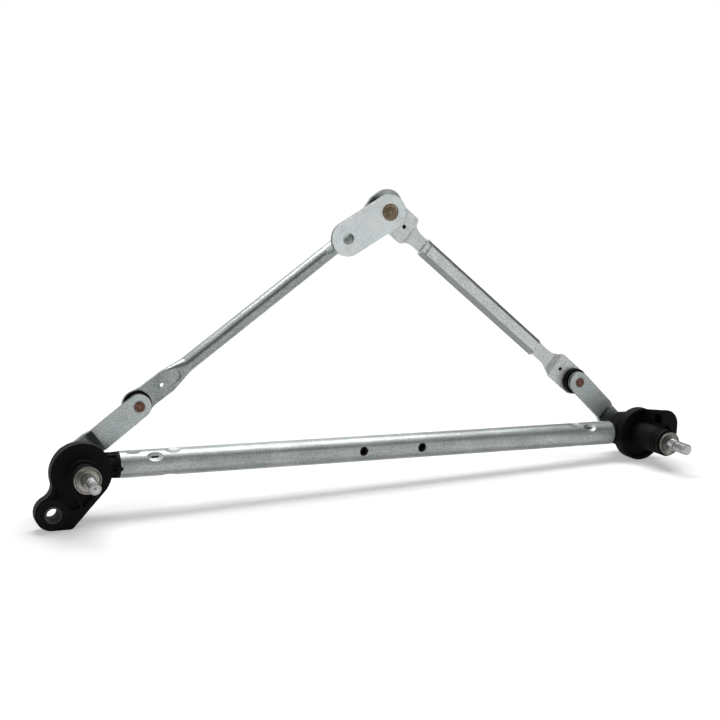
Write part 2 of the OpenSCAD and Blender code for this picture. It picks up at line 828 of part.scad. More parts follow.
module left_rod() {
  x0 = left_flat_len + left_blend_len;
  x1 = left_rod_len - top_flat_len - top_blend_len;
  lean = atan2(left_axis_y(x1) - left_axis_y(x0), x1 - x0);
  tube_len = norm([x1 - x0, left_axis_y(x1) - left_axis_y(x0)]);
  low_rear = left_flat_y + left_flat_t;
  top_rear = left_top_y + left_flat_t;
  color(steel) in_place(left_ball) rotate([0, -left_rod_angle, 0]) difference() {
    union() {
      flat_end(left_end_r, left_end_reach, left_flat_y, left_flat_len);
      translate([left_rod_len, 0, 0]) mirror([1, 0, 0])
        flat_end(left_top_r, left_top_reach, left_top_y, top_flat_len);
      flat_blend(left_flat_len, left_mid_y, x0, left_axis_y(x0));
      flat_blend(left_rod_len - top_flat_len, left_mid_y + left_rise, x1, left_axis_y(x1));
      translate([x0, left_axis_y(x0), 0]) rotate([0, 0, lean]) bar(left_rod_d, 0, tube_len);
    }
    post(socket_d, left_flat_y - over, low_rear + over);
    translate([left_rod_len, 0, 0]) post(socket_d, left_top_y - over, top_rear + over);
    translate([left_hole_at, 0, 0]) post(tooling_hole_d, left_flat_y - over, low_rear + over);
    tongue();
  }
}

// Right rod: pressed channel with flat ends, drawn along +X from its lower socket

lower_flat_len = 22;
lower_neck_len = 47;
upper_flat_len = 23;
upper_neck_len = 44.5;
joggle_len = 4;
neck_waist = 5.4;
neck_fillet_r = 13;
neck_sink = 1.5;
paddle_corner_r = 4;
upper_hole_at = 17;
lower_hole_at = 16;
crown_step = 2;
crown_step_len = 4;

// Outer outline across the pressed crown, cut off at a distance behind its web: (depth, width)
module crown_outline(cut) {
  slope = (channel_base_w - channel_web_w) / 2 / channel_depth;
  front = channel_web_w / 2 + slope * cut;
  polygon([
    [cut, -front], [cut, front], [channel_depth, channel_base_w / 2], [channel_depth, -channel_base_w / 2]
  ]);
}

// Section of the crown as sheet, open to the rear
module crown_section(cut) {
  difference() {
    crown_outline(cut);
    translate([right_sheet, 0]) crown_outline(cut);
  }
}

// Length of crown between two places with closed ends, its web at a distance behind the front
module crown(x0, x1, cut) {
  length = x1 - x0;
  translate([x0, crown_y, 0]) rotate([0, 90, 0]) rotate([0, 0, 90]) {
    linear_extrude(length) crown_section(cut);
    for (z = [0, length - right_sheet])
      translate([0, 0, z]) linear_extrude(right_sheet) crown_outline(cut);
  }
}

// Outline of a flat end and its neck: rounded corners, hollow sides to the waist, then out to the crown
module paddle_outline(r, length, crown_x) {
  corner_x = length - paddle_corner_r;
  corner_y = r - paddle_corner_r;
  side = neck_waist + neck_fillet_r;
  waist_x = corner_x + sqrt(pow(paddle_corner_r + neck_fillet_r, 2) - pow(side - corner_y, 2));
  half = channel_base_w / 2 - neck_sink;
  circle(r = r);
  translate([0, -r]) square([corner_x, 2 * r]);
  for (s = [-1, 1]) translate([corner_x, s * corner_y]) circle(r = paddle_corner_r);
  difference() {
    polygon([
      [corner_x - over, -corner_y], [corner_x - over, corner_y], [corner_x, corner_y], [waist_x, side],
      [waist_x, -side], [corner_x, -corner_y]
    ]);
    for (s = [-1, 1]) translate([waist_x, s * side]) circle(r = neck_fillet_r);
  }
  polygon([
    [waist_x - over, neck_waist], [waist_x, neck_waist], [crown_x, half],
    [crown_x, -half], [waist_x, -neck_waist], [waist_x - over, -neck_waist]
  ]);
}

// Flat end with its joggle and its neck, drawn along +X from its socket
module flat_neck(r, flat_len, neck_len, y0, y1) {
  intersection() {
    slab(2 * r + over)
      stepped_strip(-r - over, neck_len, flat_len, flat_len + joggle_len, y0, y1, right_sheet);
    plate(min(y0, y1) - over, max(y0, y1) + right_sheet + over)
      paddle_outline(r, flat_len + joggle_len / 2, neck_len);
  }
}

module right_rod() {
  far = right_rod_len;
  low = lower_neck_len - crown_step_len;
  high = far - upper_neck_len + crown_step_len;
  low_rear = right_flat_y + right_sheet;
  top_rear = right_top_y + right_sheet;
  open_shift = polar(span(motor_stud, open_pivot), open_pivot_angle - right_rod_angle);
  color(steel) in_place(right_ball) rotate([0, -right_rod_angle, 0]) difference() {
    union() {
      flat_neck(right_end_r, lower_flat_len, lower_neck_len, right_flat_y, right_neck_y);
      translate([far, 0, 0]) mirror([1, 0, 0])
        flat_neck(right_top_r, upper_flat_len, upper_neck_len, right_top_y, right_neck_y);
      crown(low, high, crown_step);
      crown(lower_neck_len, far - upper_neck_len, 0);
    }
    post(socket_d, right_flat_y - over, low_rear + over);
    translate([lower_hole_at, 0, 0]) post(tooling_hole_d, right_flat_y - over, low_rear + over);
    translate([far + open_shift[0], 0, open_shift[1]])
      post(open_sheet_d, right_top_y - over, top_rear + over);
    translate([far - upper_hole_at, 0, 0]) post(tooling_hole_d, right_top_y - over, top_rear + over);
  }
}

// Motor crank

module motor_crank_plate() {
  rear = motor_crank_y + motor_crank_t;
  color(steel) in_place(motor_stud) rotate([0, -motor_crank_angle, 0]) difference() {
    plate(motor_crank_y, rear) link_outline(motor_crank_r, motor_crank_w);
    post(motor_rivet_d, motor_crank_y - over, rear + over);
    translate([motor_crank_r, 0, 0]) post(motor_hole_d, motor_crank_y - over, rear + over);
  }
}

// Double stud: rivet end in the plate, neck through the right rod, ball in the left rod
module motor_crank_stud() {
  color(copper) in_place(motor_stud) {
    post(motor_rivet_d, motor_crank_y - rivet_h, motor_crank_y + motor_crank_t);
    post(motor_neck_d, motor_crank_y, motor_ball_y);
    translate([0, motor_ball_y, 0]) rotate([90, 0, 0]) sphere(d = ball_d);
  }
}

frame_tube();
left_housing();
right_housing();
ear_grommet();
ear_sleeve();
left_front_bush();
left_rear_bush();
right_front_bush();
right_rear_bush();
left_seal_ring();
right_seal_ring();
left_shaft();
left_thrust_washer();
left_circlip();
left_spacer_washer();
left_crank_plate();
left_ball_stud();
right_shaft();
right_thrust_washer();
right_circlip();
right_spacer_washer();
right_crank_plate();
right_ball_stud();
left_rod();
left_rod_lower_socket();
left_rod_upper_socket();
right_rod();
right_rod_lower_socket();
right_rod_upper_socket();
motor_crank_plate();
motor_crank_stud();
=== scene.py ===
import json
import math

import bmesh
import bpy
from mathutils import Matrix, Vector


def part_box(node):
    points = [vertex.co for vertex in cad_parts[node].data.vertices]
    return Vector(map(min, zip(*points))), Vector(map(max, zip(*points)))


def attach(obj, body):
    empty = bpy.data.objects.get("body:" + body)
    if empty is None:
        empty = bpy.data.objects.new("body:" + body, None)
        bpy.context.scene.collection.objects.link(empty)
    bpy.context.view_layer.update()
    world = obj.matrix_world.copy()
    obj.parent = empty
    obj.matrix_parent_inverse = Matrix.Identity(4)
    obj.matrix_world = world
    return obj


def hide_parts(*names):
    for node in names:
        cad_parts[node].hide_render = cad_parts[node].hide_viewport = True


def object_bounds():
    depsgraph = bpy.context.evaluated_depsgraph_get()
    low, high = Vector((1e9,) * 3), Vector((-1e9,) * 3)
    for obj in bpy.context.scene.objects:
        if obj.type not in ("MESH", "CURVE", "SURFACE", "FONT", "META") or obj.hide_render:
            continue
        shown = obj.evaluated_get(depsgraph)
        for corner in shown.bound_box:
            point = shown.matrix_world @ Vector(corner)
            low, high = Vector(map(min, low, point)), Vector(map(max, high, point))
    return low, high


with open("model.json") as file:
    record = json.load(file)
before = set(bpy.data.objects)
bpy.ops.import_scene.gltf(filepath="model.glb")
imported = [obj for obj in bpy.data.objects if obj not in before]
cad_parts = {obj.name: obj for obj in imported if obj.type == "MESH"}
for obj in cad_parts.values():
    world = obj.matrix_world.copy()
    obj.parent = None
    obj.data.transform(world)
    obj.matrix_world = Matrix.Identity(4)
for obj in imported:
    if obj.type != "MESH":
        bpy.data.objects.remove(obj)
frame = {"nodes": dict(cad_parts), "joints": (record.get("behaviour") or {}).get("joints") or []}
cad_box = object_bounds()
nodes = frame["nodes"]
mm = 0.001
joint_at = {joint["name"]: Vector(joint["pos_m"]) for joint in frame["joints"]}


def direction_across(start, end):
    """Direction from one joint to another, seen along the shafts."""
    along = end - start
    along.y = 0
    return along.normalized()


# Camera at the photograph's place, found by fitting known points of the linkage

photo_side = 720
focal_px = 1251.42
sensor_mm = 36.0
camera_at = Vector((-145.83, -776.74, 226.11)) * mm
camera_yaw = 0.4306
camera_pitch = 0.1563
camera_roll = -0.0376


def make_camera():
    ahead = Vector((
        math.sin(camera_yaw) * math.cos(camera_pitch),
        math.cos(camera_yaw) * math.cos(camera_pitch),
        -math.sin(camera_pitch),
    ))
    right = Vector((math.cos(camera_yaw), -math.sin(camera_yaw), 0))
    down = ahead.cross(right)
    turned_right = math.cos(camera_roll) * right + math.sin(camera_roll) * down
    turned_down = math.cos(camera_roll) * down - math.sin(camera_roll) * right
    turn = Matrix((turned_right, -turned_down, -ahead)).transposed()
    data = bpy.data.cameras.new("photo_camera")
    data.sensor_width = sensor_mm
    data.lens = focal_px / photo_side * sensor_mm
    data.clip_start = 0.01
    data.clip_end = 50
    camera = bpy.data.objects.new("photo_camera", data)
    bpy.context.scene.collection.objects.link(camera)
    camera.matrix_world = Matrix.Translation(camera_at) @ turn.to_4x4()
    bpy.context.scene.camera = camera


# Shader helpers

def place(tree, kind, **settings):
    node = tree.nodes.new(kind)
    for name, value in settings.items():
        setattr(node, name, value)
    return node


def fill(node, **values):
    for name, value in values.items():
        node.inputs[name.replace("_", " ")].default_value = value
    return node


def new_group(name, inputs, outputs):
    group = bpy.data.node_groups.new(name, "ShaderNodeTree")
    for label, kind, start in inputs:
        socket = group.interface.new_socket(name=label, in_out="INPUT", socket_type=kind)
        socket.default_value = start
    for label, kind in outputs:
        group.interface.new_socket(name=label, in_out="OUTPUT", socket_type=kind)
    return group, place(group, "NodeGroupInput"), place(group, "NodeGroupOutput")


noise_middle = 0.5
noise_roughness = 0.6
ring_detail = 3.0


def spread_out(group, given, source, target):
    """Widens a noise about its middle by the group's Contrast, kept within 0 to 1."""
    centred = place(group, "ShaderNodeMath", operation="SUBTRACT")
    centred.inputs[1].default_value = noise_middle
    spread = place(group, "ShaderNodeMath", operation="MULTIPLY")
    back = place(group, "ShaderNodeMath", operation="ADD", use_clamp=True)
    back.inputs[1].default_value = noise_middle
    group.links.new(source, centred.inputs[0])
    group.links.new(centred.outputs[0], spread.inputs[0])
    group.links.new(given.outputs["Contrast"], spread.inputs[1])
    group.links.new(spread.outputs[0], back.inputs[0])
    group.links.new(back.outputs[0], target)


def build_surface_noise():
    """Noise on Object coordinates, with its own frequency along each axis, spread over 0 to 1."""
    group, given, put = new_group(
        "surface_noise",
        [("Frequency", "NodeSocketVector", (100, 100, 100)), ("Detail", "NodeSocketFloat", 4.0),
         ("Contrast", "NodeSocketFloat", 1.0)],
        [("Value", "NodeSocketFloat")],
    )
    where = place(group, "ShaderNodeTexCoord")
    stretch = place(group, "ShaderNodeVectorMath", operation="MULTIPLY")
    noise = fill(place(group, "ShaderNodeTexNoise"), Scale=1.0, Roughness=noise_roughness)
    links = group.links
    links.new(where.outputs["Object"], stretch.inputs[0])
    links.new(given.outputs["Frequency"], stretch.inputs[1])
    links.new(stretch.outputs[0], noise.inputs["Vector"])
    links.new(given.outputs["Detail"], noise.inputs["Detail"])
    spread_out(group, given, noise.outputs["Fac"], put.inputs["Value"])
    return group


def build_lathe_rings():
    """Rings about an axis along Y, as a lathe or a spinning tool leaves them on a face."""
    group, given, put = new_group(
        "lathe_rings",
        [("Centre", "NodeSocketVector", (0, 0, 0)), ("Frequency", "NodeSocketFloat", 2000.0),
         ("Contrast", "NodeSocketFloat", 2.0)],
        [("Value", "NodeSocketFloat")],
    )
    where = place(group, "ShaderNodeTexCoord")
    from_axis = place(group, "ShaderNodeVectorMath", operation="SUBTRACT")
    across = place(group, "ShaderNodeVectorMath", operation="MULTIPLY")
    across.inputs[1].default_value = (1, 0, 1)
    reach = place(group, "ShaderNodeVectorMath", operation="LENGTH")
    turns = place(group, "ShaderNodeMath", operation="MULTIPLY")
    noise = place(group, "ShaderNodeTexNoise", noise_dimensions="1D")
    fill(noise, Scale=1.0, Detail=ring_detail, Roughness=noise_roughness)
    links = group.links
    links.new(where.outputs["Object"], from_axis.inputs[0])
    links.new(given.outputs["Centre"], from_axis.inputs[1])
    links.new(from_axis.outputs[0], across.inputs[0])
    links.new(across.outputs[0], reach.inputs[0])
    links.new(reach.outputs["Value"], turns.inputs[0])
    links.new(given.outputs["Frequency"], turns.inputs[1])
    links.new(turns.outputs[0], noise.inputs["W"])
    spread_out(group, given, noise.outputs["Fac"], put.inputs["Value"])
    return group


# Extent of the painted shade on the right rod's channel flanks
channel_from = 44 * mm
channel_to = 170.5 * mm
crown_half = 3.5 * mm
flank_blend = 0.5 * mm


def build_painted_flank_mask():
    """Mask of painted shade on the sloping sides of the right rod's channel: beside its crown and between
    its two necks.
    """
    group, given, put = new_group(
        "painted_flank_mask", [("Depth", "NodeSocketFloat", 1.0)], [("Mask", "NodeSocketFloat")]
    )
    start = joint_at["right_rod_swing"]
    along = direction_across(start, joint_at["motor_crank_turn"])
    where = place(group, "ShaderNodeTexCoord")
    offset = place(group, "ShaderNodeVectorMath", operation="SUBTRACT")
    offset.inputs[1].default_value = start
    reach = place(group, "ShaderNodeVectorMath", operation="DOT_PRODUCT")
    reach.inputs[1].default_value = along
    sideways = place(group, "ShaderNodeVectorMath", operation="DOT_PRODUCT")
    sideways.inputs[1].default_value = (-along.z, 0, along.x)
    beside = place(group, "ShaderNodeMath", operation="ABSOLUTE")
    flank = place(group, "ShaderNodeMapRange")
    fill(flank, From_Min=crown_half, From_Max=crown_half + flank_blend)
    begun = place(group, "ShaderNodeMapRange")
    fill(begun, From_Min=channel_from - flank_blend, From_Max=channel_from)
    ended = place(group, "ShaderNodeMapRange")
    fill(ended, From_Min=channel_to, From_Max=channel_to + flank_blend, To_Min=1.0, To_Max=0.0)
    between = place(group, "ShaderNodeMath", operation="MULTIPLY")
    whole = place(group, "ShaderNodeMath", operation="MULTIPLY")
    deep = place(group, "ShaderNodeMath", operation="MULTIPLY")
    links = group.links
    links.new(where.outputs["Object"], offset.inputs[0])
    links.new(offset.outputs[0], reach.inputs[0])
    links.new(offset.outputs[0], sideways.inputs[0])
    links.new(sideways.outputs["Value"], beside.inputs[0])
    links.new(beside.outputs[0], flank.inputs["Value"])
    links.new(reach.outputs["Value"], begun.inputs["Value"])
    links.new(reach.outputs["Value"], ended.inputs["Value"])
    links.new(begun.outputs["Result"], between.inputs[0])
    links.new(ended.outputs["Result"], between.inputs[1])
    links.new(between.outputs[0], whole.inputs[0])
    links.new(flank.outputs["Result"], whole.inputs[1])
    links.new(whole.outputs[0], deep.inputs[0])
    links.new(given.outputs["Depth"], deep.inputs[1])
    links.new(deep.outputs[0], put.inputs["Mask"])
    return group


plate_thick = 3.5 * mm
# thin rims at each face of the plate, left out of the painted shade on its side walls
unshaded_rim = 0.3 * mm
wall_shade_blend = 0.2 * mm


def build_painted_wall_mask():
    """Mask of painted shade on the side walls of a plate that faces -Y: the part of its thickness between
    two thin rims left out.
    """
    group, given, put = new_group(
        "painted_wall_mask",
        [("Front", "NodeSocketFloat", 0.0), ("Depth", "NodeSocketFloat", 1.0)],
        [("Mask", "NodeSocketFloat")],
    )
    where = place(group, "ShaderNodeTexCoord")
    split = place(group, "ShaderNodeSeparateXYZ")
    behind = place(group, "ShaderNodeMath", operation="SUBTRACT")
    rear_rim = plate_thick - unshaded_rim
    rise = place(group, "ShaderNodeMapRange")
    fill(rise, From_Min=unshaded_rim, From_Max=unshaded_rim + wall_shade_blend)
    fall = place(group, "ShaderNodeMapRange")
    fill(fall, From_Min=rear_rim - wall_shade_blend, From_Max=rear_rim, To_Min=1.0, To_Max=0.0)
    between = place(group, "ShaderNodeMath", operation="MULTIPLY")
    deep = place(group, "ShaderNodeMath", operation="MULTIPLY")
    links = group.links
    links.new(where.outputs["Object"], split.inputs[0])
    links.new(split.outputs["Y"], behind.inputs[0])
    links.new(given.outputs["Front"], behind.inputs[1])
    links.new(behind.outputs[0], rise.inputs["Value"])
    links.new(behind.outputs[0], fall.inputs["Value"])
    links.new(rise.outputs["Result"], between.inputs[0])
    links.new(fall.outputs["Result"], between.inputs[1])
    links.new(between.outputs[0], deep.inputs[0])
    links.new(given.outputs["Depth"], deep.inputs[1])
    links.new(deep.outputs[0], put.inputs["Mask"])
    return group


def build_edge_round():
    """Normal of a slightly rounded edge, and a mask that is 1 where the surface bends."""
    group, given, put = new_group(
        "edge_round",
        [("Radius", "NodeSocketFloat", 0.0005), ("Gain", "NodeSocketFloat", 4.0)],
        [("Normal", "NodeSocketVector"), ("Mask", "NodeSocketFloat")],
    )
    bevel = place(group, "ShaderNodeBevel", samples=6)
    flat = place(group, "ShaderNodeNewGeometry")
    agree = place(group, "ShaderNodeVectorMath", operation="DOT_PRODUCT")
    bend = place(group, "ShaderNodeMath", operation="SUBTRACT", use_clamp=True)
    bend.inputs[0].default_value = 1.0
    gain = place(group, "ShaderNodeMath", operation="MULTIPLY", use_clamp=True)
    links = group.links
    links.new(given.outputs["Radius"], bevel.inputs["Radius"])
    links.new(bevel.outputs["Normal"], agree.inputs[0])
    links.new(flat.outputs["Normal"], agree.inputs[1])
    links.new(agree.outputs["Value"], bend.inputs[1])
    links.new(bend.outputs[0], gain.inputs[0])
    links.new(given.outputs["Gain"], gain.inputs[1])
    links.new(bevel.outputs["Normal"], put.inputs["Normal"])
    links.new(gain.outputs[0], put.inputs["Mask"])
    return group


surface_noise = build_surface_noise()
lathe_rings = build_lathe_rings()
painted_flank_mask = build_painted_flank_mask()
painted_wall_mask = build_painted_wall_mask()
edge_round = build_edge_round()


# Colour sockets of a Mix node, counted because its other sockets share their names

mix_below = 6
mix_above = 7
mix_result = 2


class Finish:
    """A material under construction: a Principled shader with rounded edges and the noises that feed it."""

    def __init__(self, name, edge_mm):
        self.material = bpy.data.materials.new(name)
        self.material.use_nodes = True
        self.tree = self.material.node_tree
        self.shader = self.tree.nodes["Principled BSDF"]
        self.edge = self.group(edge_round, Radius=edge_mm * mm)

    def group(self, group, **values):
        node = place(self.tree, "ShaderNodeGroup", node_tree=group)
        return fill(node, **values)

    def wire(self, source, target):
        self.tree.links.new(source, target)

    def noise(self, frequency, detail=4.0, contrast=1.0):
        node = self.group(surface_noise, Frequency=frequency, Detail=detail, Contrast=contrast)
        return node.outputs["Value"]

    def rings(self, centre, frequency, contrast=2.0):
        node = self.group(lathe_rings, Centre=centre, Frequency=frequency, Contrast=contrast)
        return node.outputs["Value"]

    def blend(self, one, other, share):
        node = place(self.tree, "ShaderNodeMix", data_type="FLOAT")
        node.inputs["Factor"].default_value = share
        self.wire(one, node.inputs["A"])
        self.wire(other, node.inputs["B"])
        return node.outputs["Result"]

    def ramp(self, value, *stops):
        node = place(self.tree, "ShaderNodeValToRGB")
        marks = node.color_ramp.elements
        while len(marks) < len(stops):
            marks.new(0.5)
        for mark, (position, colour) in zip(marks, stops):
            mark.position = position
            mark.color = (*colour, 1.0)
        self.wire(value, node.inputs["Fac"])
        return node.outputs["Color"]

    def mix(self, below, above, mask):
        node = place(self.tree, "ShaderNodeMix", data_type="RGBA")
        self.wire(mask, node.inputs["Factor"])
        self.set_or_wire(below, node.inputs[mix_below])
        self.set_or_wire(above, node.inputs[mix_above])
        return node.outputs[mix_result]

    def tinted(self, colour, tint):
        node = place(self.tree, "ShaderNodeMix", data_type="RGBA", blend_type="MULTIPLY")
        node.inputs["Factor"].default_value = 1.0
        self.wire(colour, node.inputs[mix_below])
        self.wire(tint, node.inputs[mix_above])
        return node.outputs[mix_result]

    def set_or_wire(self, value, target):
        if isinstance(value, bpy.types.NodeSocket):
            self.wire(value, target)
        else:
            target.default_value = (*value, 1.0)

    def between(self, value, low, high):
        node = place(self.tree, "ShaderNodeMapRange")
        node.inputs["To Min"].default_value = low
        node.inputs["To Max"].default_value = high
        self.wire(value, node.inputs["Value"])
        return node.outputs["Result"]

    def scaled(self, value, factor):
        node = place(self.tree, "ShaderNodeMath", operation="MULTIPLY", use_clamp=True)
        node.inputs[1].default_value = factor
        self.wire(value, node.inputs[0])
        return node.outputs[0]

    def finish(self, colour, roughness, height, depth_mm):
        bump = place(self.tree, "ShaderNodeBump")
        bump.inputs["Distance"].default_value = depth_mm * mm
        self.wire(height, bump.inputs["Height"])
        self.wire(self.edge.outputs["Normal"], bump.inputs["Normal"])
        self.wire(bump.outputs["Normal"], self.shader.inputs["Normal"])
        self.wire(colour, self.shader.inputs["Base Color"])
        self.wire(roughness, self.shader.inputs["Roughness"])
        return self.material


# Finishes: noise frequencies in waves per metre, edge radii and grain depths in millimetres

zinc_clouds = (55, 55, 55)
zinc_specks = (900, 1150, 1150)
zinc_hues = (140, 210, 210)
zinc_cloud_share = 0.45
cool_tint = (0.965, 1.0, 0.99)
warm_tint = (1.0, 0.985, 0.965)
# edges lightened partly for wear and partly as a painted highlight
zinc_wear_and_highlight = (0.82, 0.84, 0.83)
wear_and_highlight_share = 0.35
# painted shade: darker colour on a channel's flanks, standing in for the shade they are in
painted_flank_colour = (0.17, 0.18, 0.178)
# painted shade: darker colour on the side walls of plates, standing in for the shade they are in
painted_wall_colour = (0.11, 0.115, 0.115)
painted_wall_strength = 0.75
speck_depth_mm = 0.02


def zinc_finish(
    name, dark, middle, light, along, edge_mm=0.35, metallic=0.72, rough=(0.34, 0.52), grain=0.38,
    painted_flank_strength=0.0, shaded_wall_fronts=(),
):
    """Zinc plating: fine streaks along the piece, cloudy patches, and brighter edges that are partly wear
    and partly a painted highlight; with painted shade on a channel's flanks and on the side walls of plates
    when those are given.
    """
    zinc = Finish(name, edge_mm)
    streaks = zinc.noise(along, detail=6.0, contrast=1.5)
    clouds = zinc.noise(zinc_clouds, detail=3.0, contrast=1.6)
    specks = zinc.noise(zinc_specks, detail=2.0, contrast=2.2)
    hues = zinc.noise(zinc_hues, detail=2.0, contrast=2.4)
    tone = zinc.blend(zinc.blend(streaks, clouds, zinc_cloud_share), specks, grain)
    plated = zinc.tinted(
        zinc.ramp(tone, (0.18, dark), (0.5, middle), (0.82, light)),
        zinc.ramp(hues, (0.2, cool_tint), (0.8, warm_tint)),
    )
    # edges lightened: wear and a painted highlight
    edge_wear_and_light = zinc.scaled(zinc.edge.outputs["Mask"], wear_and_highlight_share)
    colour = zinc.mix(plated, zinc_wear_and_highlight, edge_wear_and_light)
    # painted shade on the channel's flanks
    if painted_flank_strength:
        flank_shading = zinc.group(painted_flank_mask, Depth=painted_flank_strength)
        colour = zinc.mix(colour, painted_flank_colour, flank_shading.outputs["Mask"])
    # painted shade on the side walls of the plates
    for front in shaded_wall_fronts:
        wall_shading = zinc.group(painted_wall_mask, Front=front, Depth=painted_wall_strength)
        colour = zinc.mix(colour, painted_wall_colour, wall_shading.outputs["Mask"])
    fill(zinc.shader, Metallic=metallic)
    smooth, harsh = rough
    return zinc.finish(colour, zinc.between(tone, harsh, smooth), specks, speck_depth_mm)


across_axis = 40
long_mark_share = 0.4
steel_clouds = (160, 160, 160)
steel_cloud_share = 0.3
# edges lightened partly for wear and partly as a painted highlight
steel_wear_and_highlight = (0.9, 0.9, 0.89)
dull_edge = (0.3, 0.3, 0.3, 1)
mark_depth_mm = 0.015


def turned_finish(name, centre, dark, light, rings, edge_mm=0.2, rough=(0.2, 0.36), wear_plus_highlight=0.5):
    """Turned steel with the fine marks that a lathe leaves round its axis and along it, and edges lightened
    partly for wear and partly as a painted highlight.
    """
    steel = Finish(name, edge_mm)
    round_marks = steel.rings(centre, rings, contrast=3.2)
    long_marks = steel.noise((across_axis, rings, across_axis), detail=5.0, contrast=2.2)
    marks = steel.blend(round_marks, long_marks, long_mark_share)
    clouds = steel.noise(steel_clouds, detail=3.0, contrast=1.4)
    tone = steel.blend(marks, clouds, steel_cloud_share)
    turned = steel.ramp(tone, (0.25, dark), (0.75, light))
    # edges lightened: wear and a painted highlight
    edge_wear_and_light = steel.scaled(steel.edge.outputs["Mask"], wear_plus_highlight)
    colour = steel.mix(turned, steel_wear_and_highlight, edge_wear_and_light)
    fill(steel.shader, Metallic=0.9, Specular_Tint=dull_edge)
    smooth, harsh = rough
    return steel.finish(colour, steel.between(tone, harsh, smooth), marks, mark_depth_mm)


mould_grain = (2200, 2200, 2200)
mould_clouds = (90, 90, 90)
mould_cloud_share = 0.55
# greyer edges: partly rubbing and partly a painted sheen
black_wear_and_sheen = (0.03, 0.03, 0.032)


def moulded_finish(name, dark, light, edge_mm=0.5, rough=(0.5, 0.66), grain_mm=0.02, gloss=0.1):
    """Black moulding with a fine spark-eroded grain, slight sheen and greyer edges, partly rubbed and partly
    a painted sheen.
    """
    plastic = Finish(name, edge_mm)
    grain = plastic.noise(mould_grain, detail=2.0, contrast=1.4)
    clouds = plastic.noise(mould_clouds, detail=4.0, contrast=1.5)
    tone = plastic.blend(grain, clouds, mould_cloud_share)
    moulded = plastic.ramp(tone, (0.2, dark), (0.85, light))
    # edges greyed: rubbing and a painted sheen
    edge_wear_and_light = plastic.scaled(plastic.edge.outputs["Mask"], wear_and_highlight_share)
    colour = plastic.mix(moulded, black_wear_and_sheen, edge_wear_and_light)
    fill(plastic.shader, Specular_IOR_Level=gloss)
    smooth, harsh = rough
    return plastic.finish(colour, plastic.between(clouds, smooth, harsh), grain, grain_mm)


bronze_pores = (2600, 2600, 2600)
bronze_clouds = (200, 200, 200)
bronze_cloud_share = 0.5
bronze_dark = (0.22, 0.15, 0.08)
bronze_light = (0.52, 0.40, 0.24)


def bronze_finish(name, edge_mm=0.2, rough=(0.34, 0.5), pore_mm=0.02):
    """Sintered bronze: fine pores, brownish with an oily sheen."""
    bronze = Finish(name, edge_mm)
    pores = bronze.noise(bronze_pores, detail=3.0, contrast=2.0)
    clouds = bronze.noise(bronze_clouds, detail=3.0, contrast=1.4)
    tone = bronze.blend(pores, clouds, bronze_cloud_share)
    colour = bronze.ramp(tone, (0.2, bronze_dark), (0.8, bronze_light))
    fill(bronze.shader, Metallic=0.85)
    smooth, harsh = rough
    return bronze.finish(colour, bronze.between(pores, harsh, smooth), pores, pore_mm)


copper_rings = 1500
copper_clouds = (420, 420, 420)
copper_cloud_share = 0.5


def rivet_finish(name, centre, dark, middle, light, edge_mm=0.2, rough=(0.36, 0.55), mark_mm=0.04):
    """Coppered rivet head, browned unevenly, with the rings of the spinning tool."""
    rivet = Finish(name, edge_mm)
    marks = rivet.rings(centre, copper_rings, contrast=2.4)
    clouds = rivet.noise(copper_clouds, detail=3.0, contrast=1.8)
    tone = rivet.blend(marks, clouds, copper_cloud_share)
    colour = rivet.ramp(tone, (0.2, dark), (0.5, middle), (0.8, light))
    fill(rivet.shader, Metallic=0.7)
    smooth, harsh = rough
    return rivet.finish(colour, rivet.between(tone, harsh, smooth), marks, mark_mm)


tube_zinc = zinc_finish(
    "tube_zinc", dark=(0.245, 0.267, 0.265), middle=(0.445, 0.473, 0.467), light=(0.69, 0.71, 0.70),
    along=(28, 420, 420), rough=(0.28, 0.46),
)
crank_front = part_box("left_crank_plate")[0].y
crank_hub_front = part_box("left_crank_plate")[1].y - plate_thick
motor_crank_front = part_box("motor_crank_plate")[0].y
# the crank plates get painted shade on their side walls
plate_zinc = zinc_finish(
    "plate_zinc", dark=(0.35, 0.395, 0.40), middle=(0.58, 0.63, 0.635), light=(0.79, 0.825, 0.83),
    along=(240, 240, 240), metallic=0.82, grain=0.6, shaded_wall_fronts=(crank_front, crank_hub_front),
)
fresh_zinc = zinc_finish(
    "fresh_zinc", dark=(0.60, 0.655, 0.67), middle=(0.84, 0.89, 0.905), light=(0.96, 0.985, 0.995),
    along=(200, 200, 200), metallic=0.82, grain=0.4, shaded_wall_fronts=(motor_crank_front,),
)
tube_rod_zinc = zinc_finish(
    "tube_rod_zinc", dark=(0.17, 0.188, 0.185), middle=(0.36, 0.388, 0.383), light=(0.58, 0.61, 0.60),
    along=(130, 500, 130), edge_mm=0.6, metallic=0.86, rough=(0.24, 0.4), grain=0.5,
)
channel_rod_zinc = zinc_finish(
    "channel_rod_zinc", dark=(0.50, 0.53, 0.525), middle=(0.76, 0.79, 0.785), light=(0.93, 0.95, 0.945),
    along=(130, 500, 130), edge_mm=0.4, metallic=0.76, grain=0.6, painted_flank_strength=0.72,
)
black_moulding = moulded_finish("black_moulding", dark=(0.0035, 0.0035, 0.004), light=(0.009, 0.009, 0.0095))
black_rubber = moulded_finish(
    "black_rubber", dark=(0.006, 0.006, 0.006), light=(0.014, 0.014, 0.0135),
    rough=(0.62, 0.78), grain_mm=0.05,
)
sintered_bronze = bronze_finish("sintered_bronze")

